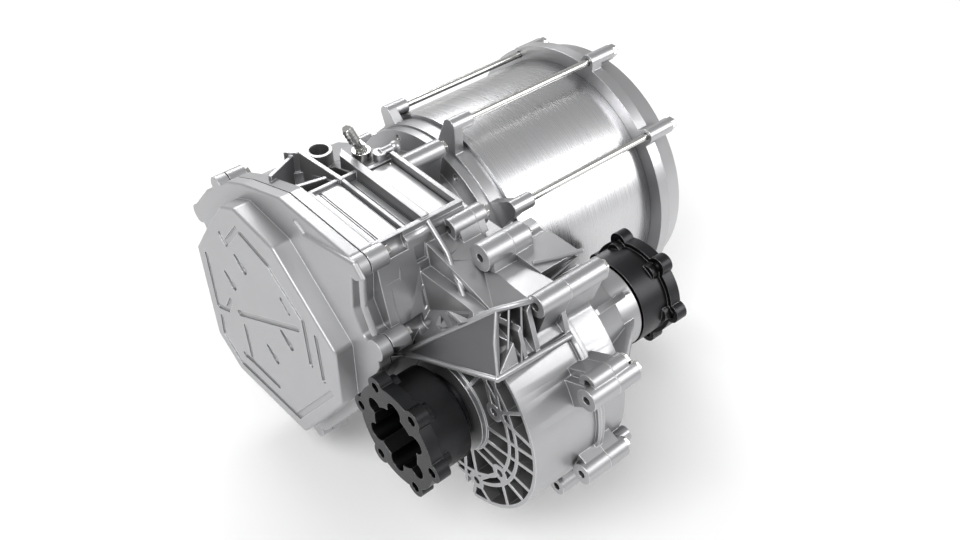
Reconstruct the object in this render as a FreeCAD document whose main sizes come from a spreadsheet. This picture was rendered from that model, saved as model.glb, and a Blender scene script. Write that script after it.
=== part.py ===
import FreeCAD, Part
import math
import os
import re
import Sketcher
from FreeCAD import Placement, Rotation, Vector

# Electric drive unit: inverter, two-stage reduction gear, differential and motor
# in one assembly. X runs along the shafts, Z is up, and the origin is the centre
# of the left output joint's flange face. Lengths are in millimetres.

doc = FreeCAD.newDocument("drive_unit")
sheet = doc.addObject("Spreadsheet::Sheet", "Sizes")

SIZES = (
    # places of the shafts and of the planes across them
    ("output_span", 267), ("motor_y", 179), ("motor_z", -18),
    ("pod_face_x", -4), ("pod_step_x", 13), ("cover_seat_x", 23),
    ("drum_face_x", 55), ("split_x", 119), ("gear_end_x", 150), ("hub_end_x", 225),
    ("motor_flange_x", 184), ("tube_start_x", 198), ("tube_end_x", 348),
    ("bell_end_x", 384),
    # output joints
    ("joint_pcd", 86), ("joint_bolts", 6), ("joint_hole_r", 4.3), ("joint_lobe_r", 8.6),
    ("joint_flange_t", 11), ("joint_rim_r", 44), ("joint_cup_r", 40),
    ("joint_cup_len", 40), ("joint_bore_r", 26), ("joint_tracks", 6), ("joint_track_r", 8),
    ("joint_track_pcr", 28), ("joint_depth", 32), ("joint_neck_r", 28),
    ("joint_neck_end", 50), ("stub_r", 14), ("spline_r", 12),
    # castings
    ("wall", 6), ("drum_r", 94), ("rib_t", 3.2), ("lattice_depth", 12),
    ("lip_h", 3), ("lip_t", 3.2), ("roof_z", 112), ("roof_t", 5),
    ("deck_z", 122), ("deck_front_y", 66), ("deck_back_y", 146), ("rail_h", 5), ("rail_t", 4),
    ("lid_t", 2.4), ("shelf_y", -60), ("shelf_z", 76), ("bay_depth", 29),
    ("motor_case_r", 110), ("boss_r", 9), ("boss_hole_r", 3.4), ("web_end_x", 157),
    ("hub_r", 39), ("hub_root_r", 58), ("cover_wall", 5),
    # motor
    ("tube_r", 118), ("tube_wall", 8), ("motor_flange_r", 114), ("tie_circle_r", 136),
    ("top_tie_r", 125), ("tie_r", 3.2), ("tie_boss_r", 7), ("tie_boss_len", 22),
    ("stator_bore_r", 68), ("air_gap", 0.8), ("stator_start_x", 232), ("stator_len", 90),
    ("slots", 24), ("slot_w", 8), ("slot_depth", 22), ("winding_len", 20),
    ("rotor_shaft_r", 20), ("core_seat_r", 26), ("magnets", 8),
    ("bell_r", 126), ("bell_rim_r", 131), ("bell_rim_t", 12), ("bell_back_r", 121),
    # gears
    ("gear1_module", 2), ("pinion1_teeth", 19), ("wheel1_teeth", 61),
    ("gear2_module", 2.5), ("pinion2_teeth", 19), ("wheel2_teeth", 65),
    ("gear1_x", 120), ("gear1_t", 20), ("gear2_x", 76), ("gear2_t", 32),
    ("backlash", 0.35), ("counter_r", 15),
    ("diff_x", 110), ("diff_r", 40), ("diff_wall", 7), ("diff_half", 30), ("journal_r", 20),
    ("side_teeth", 16), ("spider_teeth", 10), ("side_pitch_r", 19), ("cross_pin_r", 5),
    # fits
    ("running", 0.05), ("bearing_x", 59), ("bearing_t", 14), ("bearing_ring", 13),
    ("seal_t", 7),
)
for row, (alias, value) in enumerate(SIZES, start=1):
    sheet.set("A%d" % row, alias)
    sheet.set("B%d" % row, str(value))
    sheet.setAlias("B%d" % row, alias)
doc.recompute()


def size(alias):
    return float(sheet.get(alias))


MOTOR = (size("motor_y"), size("motor_z"))
OUTPUT = (0.0, 0.0)
parts = []


# Sketched and turned pieces.

def bound(expression):
    return re.sub(r"[a-z][a-z0-9_]*", r"Sizes.\g<0>", expression)


def measure(expression):
    return float(sheet.evalExpression(expression))


def origin_plane(body, role):
    return next(item for item in body.Origin.OriginFeatures if item.Role == role)


def outline_sketch(body, name, role, corners):
    sketch = body.newObject("Sketcher::SketchObject", name)
    sketch.AttachmentSupport = [(origin_plane(body, role), "")]
    sketch.MapMode = "FlatFace"
    spots = [Vector(measure(u), measure(v), 0) for u, v in corners]
    for start, end in zip(spots, spots[1:] + spots[:1]):
        sketch.addGeometry(Part.LineSegment(start, end))
    count = len(corners)
    for index in range(count):
        follower = (index + 1) % count
        sketch.addConstraint(Sketcher.Constraint("Coincident", index, 2, follower, 1))
    for index, (corner, spot) in enumerate(zip(corners, spots)):
        rules = (("DistanceX", -2, spot.x), ("DistanceY", -1, spot.y))
        for expression, (kind, axis, value) in zip(corner, rules):
            if expression == "0":
                sketch.addConstraint(Sketcher.Constraint("PointOnObject", index, 1, axis))
                continue
            number = sketch.addConstraint(Sketcher.Constraint(kind, -1, 1, index, 1, value))
            sketch.setExpression("Constraints[%d]" % number, bound(expression))
    return sketch


def turned(label, corners, centre=OUTPUT):
    body = doc.addObject("PartDesign::Body", label)
    sketch = outline_sketch(body, label + "_profile", "XY_Plane", corners)
    turn = body.newObject("PartDesign::Revolution", label + "_turn")
    turn.Profile = sketch
    turn.ReferenceAxis = (sketch, ["H_Axis"])
    turn.Angle = 360
    body.Placement = Placement(Vector(0, centre[0], centre[1]), Rotation())
    body.Label = label
    parts.append(body)
    return body


def ring(label, start, length, inner, outer, centre=OUTPUT):
    end = "%s + %s" % (start, length)
    return turned(label, ((start, inner), (end, inner), (end, outer), (start, outer)), centre)


def cast(label, shape):
    piece = doc.addObject("Part::Feature", label)
    piece.Shape = shape
    piece.Label = label
    parts.append(piece)
    return piece


# Solids that the castings and cut pieces are put together from.

def rod(start, end, centre, radius):
    return Part.makeCylinder(radius, end - start, Vector(start, *centre), Vector(1, 0, 0))


def pipe(start, end, centre, inner, outer):
    return rod(start, end, centre, outer).cut(rod(start, end, centre, inner))


def strut(first, last, radius):
    first, last = Vector(*first), Vector(*last)
    run = last - first
    return Part.makeCylinder(radius, run.Length, first, run)


def prism(corners, start, end):
    wire = Part.makePolygon([Vector(start, y, z) for y, z in list(corners) + [corners[0]]])
    return Part.Face(wire).extrude(Vector(end - start, 0, 0))


def box(start, end, low, high):
    return prism(((low[0], low[1]), (high[0], low[1]), (high[0], high[1]), (low[0], high[1])),
                 start, end)


def rounded_wire(corners, radius, x=0.0):
    spots = [Vector(x, y, z) for y, z in corners]
    edges = []
    ends = []
    for before, spot, after in zip(spots[-1:] + spots[:-1], spots, spots[1:] + spots[:1]):
        back = (before - spot).normalize()
        ahead = (after - spot).normalize()
        half = back.getAngle(ahead) / 2
        reach = radius / math.tan(half)
        start, end = spot + back * reach, spot + ahead * reach
        middle = spot + (back + ahead).normalize() * (radius / math.sin(half) - radius)
        edges.append(Part.Arc(start, middle, end).toShape())
        ends.append((start, end))
    for (_, leave), (arrive, _) in zip(ends, ends[1:] + ends[:1]):
        edges.append(Part.LineSegment(leave, arrive).toShape())
    return Part.Wire(Part.__sortEdges__(edges))


def rounded_prism(corners, radius, start, end):
    face = Part.Face(rounded_wire(corners, radius, start))
    return face.extrude(Vector(end - start, 0, 0))


def link(first, first_r, second, second_r, start, end):
    a, b = Vector(0, *first), Vector(0, *second)
    run = b - a
    tilt = math.asin((first_r - second_r) / run.Length)
    along = math.atan2(run.z, run.y)
    corners = []
    for side in (1, -1):
        angle = along + side * (math.pi / 2 - tilt)
        way = (math.cos(angle), math.sin(angle))
        near = (first[0] + first_r * way[0], first[1] + first_r * way[1])
        far = (second[0] + second_r * way[0], second[1] + second_r * way[1])
        corners += [near, far] if side == 1 else [far, near]
    return prism(corners, start, end).fuse([rod(start, end, first, first_r),
                                            rod(start, end, second, second_r)])


def near_motor(corners):
    return [(MOTOR[0] + y, MOTOR[1] + z) for y, z in corners]


def on_circle(centre, radius, degrees):
    angle = math.radians(degrees)
    return (centre[0] + radius * math.cos(angle), centre[1] + radius * math.sin(angle))


def joined(solids):
    return solids[0].fuse(list(solids[1:])).removeSplitter()


# The gear train: centres, tooth forms and phases.

def centre_distance(stage, first, second):
    return size("gear%d_module" % stage) * (size(first) + size(second)) / 2


def counter_centre():
    first = centre_distance(1, "pinion1_teeth", "wheel1_teeth")
    second = centre_distance(2, "pinion2_teeth", "wheel2_teeth")
    span = math.hypot(*MOTOR)
    along = (second ** 2 - first ** 2 + span ** 2) / (2 * span)
    above = math.sqrt(second ** 2 - along ** 2)
    return ((MOTOR[0] * along - MOTOR[1] * above) / span,
            (MOTOR[1] * along + MOTOR[0] * above) / span)


COUNTER = counter_centre()


def direction(first, second):
    return math.atan2(second[1] - first[1], second[0] - first[0])


def toothed(module, teeth, centre, phase, start, end):
    pressure = math.radians(20)
    pitch_r = module * teeth / 2
    base_r = pitch_r * math.cos(pressure)
    root_r, tip_r = pitch_r - 1.25 * module, pitch_r + module
    steps = [max(base_r, root_r), pitch_r, tip_r]
    play = size("backlash") / (4 * pitch_r)

    def half_angle(radius):
        slope = math.acos(base_r / radius)
        return (math.pi / (2 * teeth) - play + math.tan(pressure) - pressure
                - math.tan(slope) + slope)

    flank = [(radius, half_angle(radius)) for radius in steps]
    if base_r > root_r:
        flank.insert(0, (root_r, flank[0][1]))
    corners = []
    for tooth in range(int(teeth)):
        middle = phase + 2 * math.pi * tooth / teeth
        for radius, half in flank:
            corners.append((radius, middle - half))
        for radius, half in reversed(flank):
            corners.append((radius, middle + half))
    return prism([(centre[0] + r * math.cos(a), centre[1] + r * math.sin(a))
                  for r, a in corners], start, end)


# Input pinion on the rotor shaft, and the countershaft with its wheel and pinion.

gear1_end = size("gear1_x") + size("gear1_t")
gear2_end = size("gear2_x") + size("gear2_t")
to_motor = direction(COUNTER, MOTOR)
to_output = direction(COUNTER, OUTPUT)

pinion1 = toothed(size("gear1_module"), size("pinion1_teeth"), MOTOR, to_motor + math.pi,
                  size("gear1_x"), gear1_end)
cast("input_pinion", pinion1.cut(rod(size("gear1_x"), gear1_end, MOTOR, size("counter_r") - 3)))

wheel1 = toothed(size("gear1_module"), size("wheel1_teeth"), COUNTER,
                 to_motor + math.pi / size("wheel1_teeth"), size("gear1_x"), gear1_end)
wheel1_r = size("gear1_module") * size("wheel1_teeth") / 2
for start, end in ((size("gear1_x"), size("gear1_x") + size("wall")),
                   (gear1_end - size("wall"), gear1_end)):
    wheel1 = wheel1.cut(pipe(start, end, COUNTER, size("counter_r") + 12, wheel1_r - 10))
cast("countershaft_wheel", wheel1.cut(rod(size("gear1_x"), gear1_end, COUNTER,
                                          size("counter_r") + 4)))

pinion2 = toothed(size("gear2_module"), size("pinion2_teeth"), COUNTER, to_output,
                  size("gear2_x") - 1, gear2_end + 1)
bearing_end = size("bearing_x") + size("bearing_t")
right_bearing_x = size("gear_end_x") - size("wall")
counter = joined([pinion2,
                  rod(size("bearing_x"), right_bearing_x + size("bearing_t"), COUNTER,
                      size("counter_r")),
                  rod(gear2_end + 1, gear1_end + 2, COUNTER, size("counter_r") + 4)])
cast("countershaft", counter)

ring_gear = toothed(size("gear2_module"), size("wheel2_teeth"), OUTPUT,
                    to_output + math.pi + math.pi / size("wheel2_teeth"),
                    size("gear2_x"), gear2_end)
ring_pitch_r = size("gear2_module") * size("wheel2_teeth") / 2
web_r = ring_pitch_r - 12
ring_gear = ring_gear.cut(rod(size("gear2_x"), gear2_end, OUTPUT, size("diff_r")))
ring_gear = ring_gear.cut(rod(size("gear2_x"), gear2_end - 14, OUTPUT, web_r))
ring_bolt_r = size("diff_r") + 9
for index in range(8):
    spot = on_circle(OUTPUT, ring_bolt_r, 22.5 + 45 * index)
    ring_gear = ring_gear.cut(rod(gear2_end - 14, gear2_end, spot, 4))
cast("ring_gear", ring_gear)

# Differential: case, cross pin, two spider gears and two side gears.

diff_left, diff_right = size("diff_x") - size("diff_half"), size("diff_x") + size("diff_half")
cavity_half = size("diff_half") - 4
cavity_r = size("diff_r") - size("diff_wall")
APEX = Vector(size("diff_x"), 0, 0)


def differential_case():
    shell = joined([rod(size("bearing_x"), right_bearing_x + size("bearing_t"), OUTPUT,
                        size("journal_r")),
                    rod(diff_left, diff_right, OUTPUT, size("diff_r")),
                    rod(gear2_end, gear2_end + size("wall") + 1, OUTPUT, ring_bolt_r + 8)])
    shell = shell.cut(rod(APEX.x - cavity_half, APEX.x + cavity_half, OUTPUT, cavity_r))
    shell = shell.cut(rod(0, size("output_span"), OUTPUT, size("stub_r") + size("running")))
    window = box(APEX.x - 16, APEX.x + 16, (-size("diff_r") - 1, -15), (size("diff_r") + 1, 15))
    shell = shell.cut(window)
    pin_hole = Part.makeCylinder(size("cross_pin_r"), 2 * size("diff_r") + 2,
                                 APEX - Vector(0, 0, size("diff_r") + 1), Vector(0, 0, 1))
    shell = shell.cut(pin_hole)
    for index in range(8):
        spot = on_circle(OUTPUT, ring_bolt_r, 22.5 + 45 * index)
        shell = shell.cut(rod(gear2_end, gear2_end + size("wall") + 1, spot, 4))
    return shell


cast("differential_case", differential_case())
pin_half = size("diff_r") - 0.5
cast("cross_pin", Part.makeCylinder(size("cross_pin_r"), 2 * pin_half,
                                    APEX - Vector(0, 0, pin_half), Vector(0, 0, 1)))
bolts = []
for index in range(8):
    spot = on_circle(OUTPUT, ring_bolt_r, 22.5 + 45 * index)
    shank = rod(gear2_end - 14, gear2_end + size("wall") + 1, spot, 4)
    bolts.append(shank.fuse(rod(gear2_end + size("wall") + 1, gear2_end + size("wall") + 4,
                                spot, 5.5)))
cast("ring_gear_bolts", Part.makeCompound(bolts))


def planar_solid(heel, toe):
    """Closed solid between two outlines that are scaled copies of each other."""
    faces = [Part.Face(Part.makePolygon(loop + loop[:1])) for loop in (heel, toe)]
    for index in range(len(heel)):
        after = (index + 1) % len(heel)
        corners = [heel[index], heel[after], toe[after], toe[index], heel[index]]
        faces.append(Part.Face(Part.makePolygon(corners)))
    solid = Part.Solid(Part.Shell(faces))
    solid.fix(1e-4, 1e-4, 1e-4)
    if solid.Volume < 0:
        solid.reverse()
    return solid


def bevel_gear(teeth, pitch_r, mate_r, bore_r, back, phase, turn):
    """Bevel gear about local X with its cone's tip at the differential's centre."""
    module = 2 * pitch_r / teeth
    cone = math.atan2(pitch_r, mate_r)
    rise, depth = 0.75 * module, 1.1 * module
    tip = (mate_r - rise * math.sin(cone), pitch_r + rise * math.cos(cone))
    root = (mate_r + depth * math.sin(cone), pitch_r - depth * math.cos(cone))
    toe = max(0.62, (bore_r + 1.5) / root[1])
    profile = [Vector(root[0] * toe, bore_r, 0), Vector(root[0] * toe, root[1] * toe, 0),
               Vector(root[0], root[1], 0), Vector(back, root[1], 0), Vector(back, bore_r, 0)]
    body = Part.Face(Part.makePolygon(profile + profile[:1])).revolve(
        Vector(), Vector(1, 0, 0), 360)
    pitch_angle = 2 * math.pi / teeth
    sunk = (root[0] + 0.3 * math.sin(cone), root[1] - 0.3 * math.cos(cone))
    solids = [body]
    for tooth in range(int(teeth)):
        middle = phase + tooth * pitch_angle
        loop = []
        for (x, r), half in ((sunk, -0.29), (sunk, 0.29), (tip, 0.12), (tip, -0.12)):
            angle = middle + half * pitch_angle
            loop.append(Vector(x, r * math.cos(angle), r * math.sin(angle)))
        solids.append(planar_solid(loop, [corner * toe for corner in loop]))
    gear = solids[0].fuse(solids[1:])
    gear.Placement = Placement(APEX, turn)
    return gear


side_r = size("side_pitch_r")
spider_r = side_r * size("spider_teeth") / size("side_teeth")
spider_back = math.sqrt(cavity_r ** 2 - spider_r ** 2) - 0.1
gap_at_pin = math.pi / size("side_teeth")
for label, turn in (("side_gear_right", Rotation()),
                    ("side_gear_left", Rotation(Vector(0, 1, 0), 180))):
    cast(label, bevel_gear(size("side_teeth"), side_r, spider_r, size("spline_r"),
                           cavity_half - 0.1, math.pi / 2 + gap_at_pin, turn))
for label, lean in (("spider_gear_upper", -90), ("spider_gear_lower", 90)):
    cast(label, bevel_gear(size("spider_teeth"), spider_r, side_r,
                           size("cross_pin_r") + size("running"), spider_back,
                           math.pi / 2, Rotation(Vector(0, 1, 0), lean)))


# Output joint housings: six-bolt flange, ball tracks, neck, and the splined stub.

def output_joint():
    lobes = [on_circle(OUTPUT, size("joint_pcd") / 2, 360 / size("joint_bolts") * index)
             for index in range(int(size("joint_bolts")))]
    flange_t, cup_end = size("joint_flange_t"), size("joint_cup_len")
    solids = [rod(0, flange_t, OUTPUT, size("joint_rim_r")),
              rod(0, cup_end, OUTPUT, size("joint_cup_r")),
              rod(cup_end, size("joint_neck_end"), OUTPUT, size("joint_neck_r")),
              rod(cup_end, APEX.x - cavity_half - 0.1, OUTPUT, size("stub_r")),
              rod(cup_end, APEX.x - size("cross_pin_r") - 2, OUTPUT, size("spline_r"))]
    for spot in lobes:
        solids.append(rod(0, flange_t, spot, size("joint_lobe_r")))
        inward = (spot[0] * 0.86, spot[1] * 0.86)
        solids.append(rod(flange_t, flange_t + 7, inward, size("joint_lobe_r") - 1))
    housing = joined(solids)
    housing = housing.cut(rod(0, size("joint_depth"), OUTPUT, size("joint_bore_r")))
    tracks = int(size("joint_tracks"))
    for index in range(tracks):
        spot = on_circle(OUTPUT, size("joint_track_pcr"), 360 / tracks * (index + 0.5))
        housing = housing.cut(rod(0, size("joint_depth") - 4, spot, size("joint_track_r")))
    for spot in lobes:
        housing = housing.cut(rod(0, flange_t, spot, size("joint_hole_r")))
    return housing


cup_end = size("joint_cup_len")
shoulder = Part.makeCone(size("joint_cup_r"), size("joint_neck_r") + 2,
                         size("joint_neck_end") - 4 - cup_end, Vector(cup_end, 0, 0),
                         Vector(1, 0, 0))
cast("output_joint_left", output_joint().fuse(shoulder).removeSplitter())
right_joint = output_joint()
reach = size("output_span") - 2 * APEX.x
for radius, start, end in ((size("stub_r"), size("joint_cup_len"), reach + APEX.x - cavity_half),
                           (size("spline_r"), size("joint_cup_len"),
                            reach + APEX.x - size("cross_pin_r") - 2)):
    right_joint = right_joint.fuse(rod(start, end, OUTPUT, radius))
right_joint.Placement = Placement(Vector(size("output_span"), 0, 0),
                                  Rotation(Vector(0, 0, 1), 180))
cast("output_joint_right", right_joint.removeSplitter())

# Bearings and shaft seals.

for label, start, seat, centre in (
        ("differential_bearing_left", "bearing_x", "journal_r", OUTPUT),
        ("differential_bearing_right", "gear_end_x - wall", "journal_r", OUTPUT),
        ("countershaft_bearing_left", "bearing_x", "counter_r", COUNTER),
        ("countershaft_bearing_right", "gear_end_x - wall", "counter_r", COUNTER),
        ("pinion_bearing", "bearing_x", "spline_r", MOTOR),
        ("rotor_bearing_front", "motor_flange_x - 24", "rotor_shaft_r", MOTOR),
        ("rotor_bearing_rear", "bell_end_x - 22", "counter_r", MOTOR)):
    ring(label, start, "bearing_t", seat + " + running", seat + " + bearing_ring", centre)
ring("shaft_seal_left", "joint_neck_end + 1", "seal_t", "stub_r + running", "stub_r + 8")
ring("shaft_seal_right", "hub_end_x - 20", "seal_t", "stub_r + running", "stub_r + 8")

# Motor: shaft, rotor core with its magnets, stator, winding and resolver.

turned("rotor_shaft", (
    ("bearing_x", "0"), ("bell_end_x - 8", "0"), ("bell_end_x - 8", "counter_r"),
    ("bell_end_x - 24", "counter_r"), ("bell_end_x - 24", "rotor_shaft_r"),
    ("stator_start_x + stator_len + 4", "rotor_shaft_r"),
    ("stator_start_x + stator_len + 4", "core_seat_r"),
    ("stator_start_x - 6", "core_seat_r"), ("stator_start_x - 6", "rotor_shaft_r"),
    ("gear1_x + gear1_t", "rotor_shaft_r"), ("gear1_x + gear1_t", "spline_r"),
    ("bearing_x", "spline_r")), MOTOR)
stator_end = size("stator_start_x") + size("stator_len")
rotor_r = size("stator_bore_r") - size("air_gap")
core = pipe(size("stator_start_x"), stator_end, MOTOR, size("core_seat_r"), rotor_r)
magnets = []
for index in range(int(size("magnets"))):
    magnet = Part.makeBox(size("stator_len"), 6, 34, Vector(size("stator_start_x"), 50, -17))
    magnet.rotate(Vector(), Vector(1, 0, 0), 360 / size("magnets") * index)
    magnet.translate(Vector(0, *MOTOR))
    magnets.append(magnet)
cast("rotor_core", core.cut(magnets))
cast("rotor_magnets", Part.makeCompound(magnets))
for label, start in (("rotor_plate_front", "stator_start_x - 4"),
                     ("rotor_plate_rear", "stator_start_x + stator_len")):
    ring(label, start, "4", "core_seat_r", "stator_bore_r - air_gap - 2", MOTOR)

stack = pipe(size("stator_start_x"), stator_end, MOTOR, size("stator_bore_r"),
             size("tube_r") - size("tube_wall"))
coil_start = size("stator_start_x") - size("winding_len")
coil_end = stator_end + size("winding_len")
coil_in = size("stator_bore_r") + 5
coil_out = coil_in + size("slot_depth")
coils = [pipe(coil_start, size("stator_start_x"), MOTOR, coil_in, coil_out),
         pipe(stator_end, coil_end, MOTOR, coil_in, coil_out)]
for index in range(int(size("slots"))):
    slot = Part.makeBox(size("stator_len"), size("slot_depth"), size("slot_w"),
                        Vector(size("stator_start_x"), coil_in, -size("slot_w") / 2))
    slot.rotate(Vector(), Vector(1, 0, 0), 360 / size("slots") * (index + 0.5))
    slot.translate(Vector(0, *MOTOR))
    stack = stack.cut(slot)
    coils.append(slot)
cast("stator_core", stack)
cast("stator_winding", coils[0].fuse(coils[1:]))
ring("resolver_rotor", "bell_end_x - 38", "8", "rotor_shaft_r", "rotor_shaft_r + 6", MOTOR)
ring("resolver_stator", "bell_end_x - 38", "8", "rotor_shaft_r + 6.8", "rotor_shaft_r + 18",
     MOTOR)

# Motor housing: front flange, tube, end bell, and the tie rods that clamp them.

tie_spots = [on_circle(MOTOR, size("tie_circle_r"), degrees)
             for degrees in (99, 137, 215, 255, 295, 335, 15)]
tie_spots.append(on_circle(MOTOR, size("top_tie_r"), 56))
ring("motor_tube", "tube_start_x", "tube_end_x - tube_start_x", "tube_r - tube_wall", "tube_r",
     MOTOR)


def with_tie_bosses(solid, start, end, boss_end, spots):
    ears = []
    for spot in spots:
        inner = (MOTOR[0] + 0.78 * (spot[0] - MOTOR[0]), MOTOR[1] + 0.78 * (spot[1] - MOTOR[1]))
        ears.append(link(spot, size("tie_boss_r"), inner, 13, start, end))
        ears.append(rod(min(start, boss_end), max(start, boss_end), spot, size("tie_boss_r")))
    return joined([solid] + ears)


boss_end = size("motor_flange_x") + size("tie_boss_len")
flange = with_tie_bosses(rod(size("motor_flange_x"), size("tube_start_x"), MOTOR,
                             size("motor_flange_r")),
                         size("motor_flange_x"), size("motor_flange_x") + 9, boss_end, tie_spots)
flange = flange.cut(rod(size("tube_start_x"), boss_end, MOTOR, size("tube_r")))
flange = flange.cut(rod(size("motor_flange_x"), size("tube_start_x"), MOTOR, coil_out + 4))
for spot in tie_spots:
    flange = flange.cut(rod(size("motor_flange_x") + 3, boss_end, spot, size("tie_r") + 0.3))
FLANGE_BOLTS = [on_circle(MOTOR, size("stator_bore_r") + 36.5, 22.5 + 45 * index)
                for index in range(8)]
for spot in FLANGE_BOLTS:
    flange = flange.cut(rod(size("motor_flange_x"), size("tube_start_x"), spot, 3.3))
cast("motor_front_flange", flange)

bell_in = size("tube_end_x") + size("bell_rim_t")
rib_end = size("bell_end_x") - 2
bell = joined([rod(size("tube_end_x"), bell_in, MOTOR, size("bell_rim_r")),
               Part.makeCone(size("bell_r"), size("bell_back_r"), size("bell_end_x") - bell_in,
                             Vector(bell_in, *MOTOR), Vector(1, 0, 0))])
bell = with_tie_bosses(bell, size("tube_end_x"), bell_in, size("bell_end_x") - 7, tie_spots)
bell = bell.cut(pipe(bell_in + 8, size("bell_end_x"), MOTOR, 42, size("bell_back_r") - 7))
ribs = []
for index in range(9):
    blade = Part.makeBox(rib_end - bell_in - 8, size("bell_back_r") - 44, 5,
                         Vector(bell_in + 8, 40, -2.5))
    blade.rotate(Vector(), Vector(1, 0, 0), 40 * index + 20)
    blade.translate(Vector(0, *MOTOR))
    ribs.append(blade)
bell = joined([bell] + ribs)
bell = bell.cut(rod(size("tube_end_x"), bell_in, MOTOR, size("tube_r") - size("tube_wall")))
bell = bell.fuse(pipe(bell_in - 6, bell_in, MOTOR, size("rotor_shaft_r") + 9,
                      size("rotor_shaft_r") + 18))
rear_seat = size("counter_r") + size("bearing_ring")
bell = bell.cut(rod(bell_in, size("bell_end_x") - 8, MOTOR, rear_seat))
nut_start = size("bell_end_x") - 7
for spot in tie_spots:
    bell = bell.cut(rod(size("tube_end_x"), size("bell_end_x"), spot, size("tie_r") + 0.3))
    bell = bell.cut(rod(nut_start, size("bell_end_x"), spot, size("tie_boss_r") + 1))
cast("motor_end_bell", bell)

rods, nuts = [], []
for spot in tie_spots:
    rods.append(rod(size("motor_flange_x") + 3, size("bell_end_x") + 1, spot, size("tie_r")))
    corners = [on_circle(spot, 6.2, 60 * side) for side in range(6)]
    nut = prism(corners, nut_start, nut_start + 6)
    nuts.append(nut.cut(rod(nut_start, nut_start + 6, spot, size("tie_r"))))
cast("tie_rods", Part.makeCompound(rods))
cast("tie_rod_nuts", Part.makeCompound(nuts))

# Outlines that the castings share.

PLATE = near_motor(((-123, 148), (-119, 130), (-116, 96), (-127, 76), (-143, 76), (-147, 58),
                    (-120, -4), (-48, -101), (68, -107), (109, -79), (118, 32), (133, 48),
                    (102, 82), (55, 117), (29, 129), (-28, 148)))
BODY = near_motor(((-121, 140), (-127, 113), (-139, 70), (-141, 48), (-117, 0), (-45, -94),
                   (66, -100), (102, -74), (110, 30), (124, 48), (96, 78), (51, 111),
                   (26, 123), (-29, 140)))
BAY = near_motor(((11, 96), (-37, 92), (-104, 50), (-104, 3), (-41, -83), (62, -89),
                  (91, -70), (96, 23), (61, 68), (36, 88)))
POD = near_motor(((42, 108), (19, 119), (-37, 114), (-112, 57), (-112, 0), (-44, -92),
                  (65, -98), (99, -75), (105, 27), (67, 78)))
COVER_LUGS = near_motor(((-122, 139), (-142, 73), (-119, -12), (-36, -106), (58, -112),
                         (116, -66), (127, 42), (78, 99)))
SPLIT_BOSSES = (((13, 115), 94, 136, 11), ((-48, 111), 92, 155, 9), ((-101, 58), 93.5, 140, 9),
                ((-95, 65), 100, 134, 8), ((-101, -25), 96, 139, 9), ((-73, -70), 100, 122, 8),
                ((54, 114), 98, 130, 9), ((60, -96), 96, 136, 9), ((120, -124), 96, 136, 9),
                ((148, 108), 119, 166, 8.5))
seat_x, split_x = size("cover_seat_x"), size("split_x")
gasket_end = seat_x + 1
wall = size("wall")
DUCT = ((MOTOR[0] + 58, MOTOR[1] - 62), (MOTOR[0] + 84, MOTOR[1] - 30))


def bar(first, last, width, start, end):
    run = Vector(0, last[0] - first[0], last[1] - first[1])
    side = run.normalize().cross(Vector(1, 0, 0)) * (width / 2)
    corners = [(first[0] - side.y, first[1] - side.z), (last[0] - side.y, last[1] - side.z),
               (last[0] + side.y, last[1] + side.z), (first[0] + side.y, first[1] + side.z)]
    return prism(corners, start, end)


def upright(corners, low, high):
    wire = Part.makePolygon([Vector(x, y, low) for x, y in list(corners) + [corners[0]]])
    return Part.Face(wire).extrude(Vector(0, 0, high - low))


def plan_bar(first, last, width, low, high):
    run = Vector(last[0] - first[0], last[1] - first[1], 0).normalize()
    x, y = -run.y * width / 2, run.x * width / 2
    return upright(((first[0] + x, first[1] + y), (last[0] + x, last[1] + y),
                    (last[0] - x, last[1] - y), (first[0] - x, first[1] - y)), low, high)


def inset(corners, radius, amount, start, end):
    wire = rounded_wire(corners, radius, start).makeOffset2D(-amount)
    return Part.Face(wire).extrude(Vector(end - start, 0, 0))


# Main housing: inverter bay on the left, gear case behind it, deck on top.

def lattice():
    """Pockets in the drum's left face, left open between cast ribs."""
    face_x, floor_x = size("drum_face_x"), size("drum_face_x") + size("lattice_depth")
    rim = size("drum_r") - size("rib_t")
    pockets = pipe(face_x, floor_x, OUTPUT, 42, rim)
    ribs = [pipe(face_x, floor_x, OUTPUT, rim * 0.7, rim * 0.735),
            pipe(face_x, floor_x, OUTPUT, rim * 0.79, rim * 0.825)]
    eyes = ((-47.8, 29), (-28.3, -68.3), (-55.2, -33.8))
    for first, last in (((-27, 90), (-45, 32)), ((-40, 86), (-54, 34)), ((-48, 29), (-78, 53)),
                        ((-48, 29), (-88, 26)), ((-36, 5), (-90, 16)), ((-36, -10), (-92, 0)),
                        ((-34, -20), (-89, -24)), ((-55, -34), (-85, -42)),
                        ((-55, -34), (-66, -66)), ((-55, -34), (-28, -68)),
                        ((-28, -68), (-46, -82)), ((-28, -68), (-24, -92)),
                        ((-14, -36), (-16, -92)), ((-26, -30), (-55, -34)),
                        ((-22, -33), (-30, -68)), ((-4, 40), (-10, 94)), ((-20, 34), (-34, 60)),
                        ((16, -38), (40, -84)), ((34, -24), (77, -56))):
        ribs.append(bar(first, last, size("rib_t"), face_x, floor_x))
    for eye in eyes:
        ribs.append(rod(face_x, floor_x, eye, 8))
    pockets = pockets.cut(ribs)
    holes = [rod(face_x, floor_x, eye, size("boss_hole_r")) for eye in eyes]
    away = Vector(0, 0.66, -0.751)
    flat = Part.makeBox(size("lattice_depth"), 200, 60, Vector(face_x, -100, -60))
    flat.Placement = Placement(Vector(0, *(away * 50.3)[1:]),
                               Rotation(Vector(1, 0, 0), math.degrees(math.atan2(0.66, 0.751))))
    return pockets.fuse(holes + [flat])


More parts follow.
